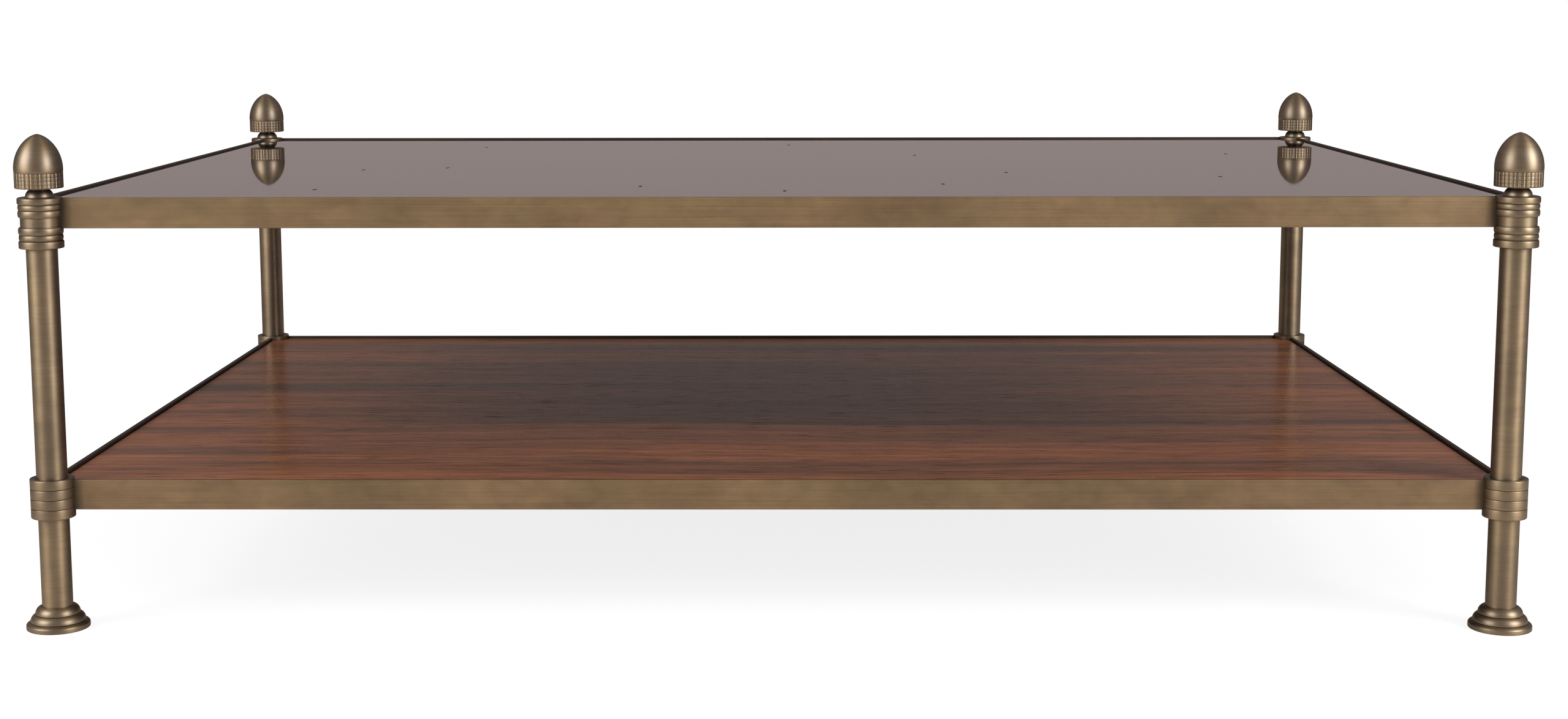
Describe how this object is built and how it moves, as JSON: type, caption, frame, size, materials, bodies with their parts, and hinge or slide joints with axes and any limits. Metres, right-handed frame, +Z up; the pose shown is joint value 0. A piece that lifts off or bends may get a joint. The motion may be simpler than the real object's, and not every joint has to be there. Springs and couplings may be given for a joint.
{
  "type": "two-tier low table",
  "caption": "Low two-tier table with turned brass legs and acorn finials, a bronze mirror top and a veneered lower shelf in brass angle frames.",
  "frame": {"origin": "on the floor, midway between the four legs", "axes": "+Z up, +X along the length to the right as seen from the front, +Y to the back"},
  "size_m": [1.2514, 0.8514, 0.4115],
  "materials": {
    "brass_turned": "antique brushed, brushed round the piece",
    "brass_rail": "antique brushed, brushed along the rail, softly mottled",
    "bronze_mirror": "bronze-tinted mirror glass",
    "shelf_veneer": "red-brown figured veneer, gloss lacquer",
    "backing_board": "raw board",
    "steel_rod": "bright zinc",
    "glide_plastic": "matt black"
  },
  "bodies": {
    "frame": {"front_left_foot_pad": "glide_plastic", "front_left_foot": "brass_turned", "front_left_tie_rod": "steel_rod", "front_left_lower_tube": "brass_turned", "front_left_lower_collar": "brass_turned", "front_left_middle_tube": "brass_turned", "front_left_upper_collar": "brass_turned", "front_left_neck": "brass_turned", "front_right_foot_pad": "glide_plastic", "front_right_foot": "brass_turned", "front_right_tie_rod": "steel_rod", "front_right_lower_tube": "brass_turned", "front_right_lower_collar": "brass_turned", "front_right_middle_tube": "brass_turned", "front_right_upper_collar": "brass_turned", "front_right_neck": "brass_turned", "back_right_foot_pad": "glide_plastic", "back_right_foot": "brass_turned", "back_right_tie_rod": "steel_rod", "back_right_lower_tube": "brass_turned", "back_right_lower_collar": "brass_turned", "back_right_middle_tube": "brass_turned", "back_right_upper_collar": "brass_turned", "back_right_neck": "brass_turned", "back_left_foot_pad": "glide_plastic", "back_left_foot": "brass_turned", "back_left_tie_rod": "steel_rod", "back_left_lower_tube": "brass_turned", "back_left_lower_collar": "brass_turned", "back_left_middle_tube": "brass_turned", "back_left_upper_collar": "brass_turned", "back_left_neck": "brass_turned", "lower_front_rail": "brass_rail", "lower_right_rail": "brass_rail", "lower_back_rail": "brass_rail", "lower_left_rail": "brass_rail", "upper_front_rail": "brass_rail", "upper_right_rail": "brass_rail", "upper_back_rail": "brass_rail", "upper_left_rail": "brass_rail"},
    "top_panel": {"mirror_glass": "bronze_mirror", "mirror_backing_board": "backing_board"},
    "shelf_panel": {"shelf_board": "shelf_veneer"},
    "front_left_finial": {"front_left_acorn_cup": "brass_turned", "front_left_acorn": "brass_turned"},
    "front_right_finial": {"front_right_acorn_cup": "brass_turned", "front_right_acorn": "brass_turned"},
    "back_right_finial": {"back_right_acorn_cup": "brass_turned", "back_right_acorn": "brass_turned"},
    "back_left_finial": {"back_left_acorn_cup": "brass_turned", "back_left_acorn": "brass_turned"}
  },
  "joints": [
    {"name": "top_panel_lift", "type": "slide", "parent": "frame", "child": "top_panel", "axis": [0, 0, 1], "range_m": [0, 0.12]},
    {"name": "shelf_panel_lift", "type": "slide", "parent": "frame", "child": "shelf_panel", "axis": [0, 0, 1], "range_m": [0, 0.21]},
    {"name": "front_left_finial_turn", "type": "hinge", "parent": "frame", "child": "front_left_finial", "pos_m": [-0.6, -0.4, 0.3675], "axis": [0, 0, 1], "range_deg": [0, 360]},
    {"name": "front_right_finial_turn", "type": "hinge", "parent": "frame", "child": "front_right_finial", "pos_m": [0.6, -0.4, 0.3675], "axis": [0, 0, 1], "range_deg": [0, 360]},
    {"name": "back_right_finial_turn", "type": "hinge", "parent": "frame", "child": "back_right_finial", "pos_m": [0.6, 0.4, 0.3675], "axis": [0, 0, 1], "range_deg": [0, 360]},
    {"name": "back_left_finial_turn", "type": "hinge", "parent": "frame", "child": "back_left_finial", "pos_m": [-0.6, 0.4, 0.3675], "axis": [0, 0, 1], "range_deg": [0, 360]}
  ]
}
